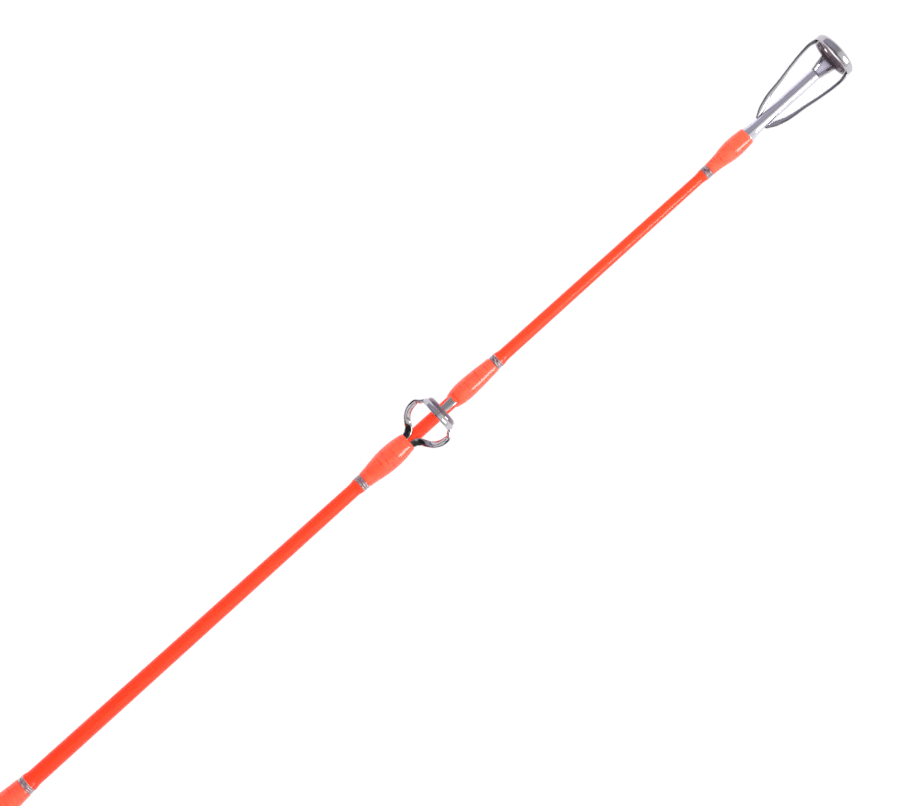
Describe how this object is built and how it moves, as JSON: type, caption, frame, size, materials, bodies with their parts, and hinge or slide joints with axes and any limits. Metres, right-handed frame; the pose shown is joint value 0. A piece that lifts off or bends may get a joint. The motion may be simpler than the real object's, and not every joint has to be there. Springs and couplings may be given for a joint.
{
  "type": "ice fishing rod",
  "caption": "Short ice fishing rod: a solid glass blank with ring guides and a tip-top, and a cork handle whose reel seat clamps a reel's foot with a screw-driven hood.",
  "frame": {"origin": "centre of the butt cap's flat end face, on the rod's axis", "axes": "+X along the rod from the butt to the tip; +Z towards the side that the guides and the reel saddle are on; +Y completes a right-handed frame"},
  "size_m": [0.762, 0.0266, 0.0317],
  "materials": {
    "blank": "gloss fluorescent orange over solid glass fibre",
    "wrap": "salmon orange thread under clear gloss finish",
    "trim": "mottled silver metallic thread under clear gloss finish",
    "steel": "polished stainless steel",
    "frame": "polished stainless steel, dark",
    "ring": "polished",
    "cork": "sanded cork",
    "foam": "matt closed-cell foam",
    "seat": "satin graphite-filled nylon",
    "liner": "matt",
    "arbor": "matt",
    "rubber": "matt"
  },
  "bodies": {
    "rod": {"butt_cap": "rubber", "fixed_hood": "steel", "fixed_hood_liner": "liner", "fore_grip": "cork", "fore_trim_ring": "foam", "guide_1_frame": "frame", "guide_1_front_trim": "trim", "guide_1_front_wrap": "wrap", "guide_1_rear_trim": "trim", "guide_1_rear_wrap": "wrap", "guide_1_ring": "ring", "guide_2_frame": "frame", "guide_2_front_trim": "trim", "guide_2_front_wrap": "wrap", "guide_2_rear_trim": "trim", "guide_2_rear_wrap": "wrap", "guide_2_ring": "ring", "guide_3_frame": "frame", "guide_3_front_trim": "trim", "guide_3_front_wrap": "wrap", "guide_3_rear_trim": "trim", "guide_3_rear_wrap": "wrap", "guide_3_ring": "ring", "guide_4_frame": "frame", "guide_4_front_trim": "trim", "guide_4_front_wrap": "wrap", "guide_4_rear_trim": "trim", "guide_4_rear_wrap": "wrap", "guide_4_ring": "ring", "hook_keeper": "steel", "keeper_front_wrap": "wrap", "keeper_rear_wrap": "wrap", "rear_grip": "cork", "rear_trim_ring": "foam", "reel_seat_barrel": "seat", "rod_blank": "blank", "seat_arbor_front": "arbor", "seat_arbor_middle": "arbor", "seat_arbor_rear": "arbor", "tip_top_frame": "steel", "tip_top_ring": "ring", "tip_top_tube": "steel", "tip_trim": "trim", "tip_wrap": "wrap", "winding_check": "steel"},
    "sliding_hood": {"sliding_hood": "steel", "sliding_hood_liner": "liner"},
    "lock_nut": {"lock_nut": "seat"}
  },
  "joints": [
    {"name": "hood_slide", "type": "slide", "parent": "rod", "child": "sliding_hood", "axis": [1, 0, 0], "range_m": [0, 0.016]},
    {"name": "lock_nut_spin", "type": "hinge", "parent": "sliding_hood", "child": "lock_nut", "pos_m": [0.11815, 0, 0], "axis": [1, 0, 0], "range_deg": [0, 2880]}
  ],
  "couplings": [
    {"joint": "lock_nut_spin", "follows": "hood_slide", "rad_per_m": 3141.6}
  ]
}
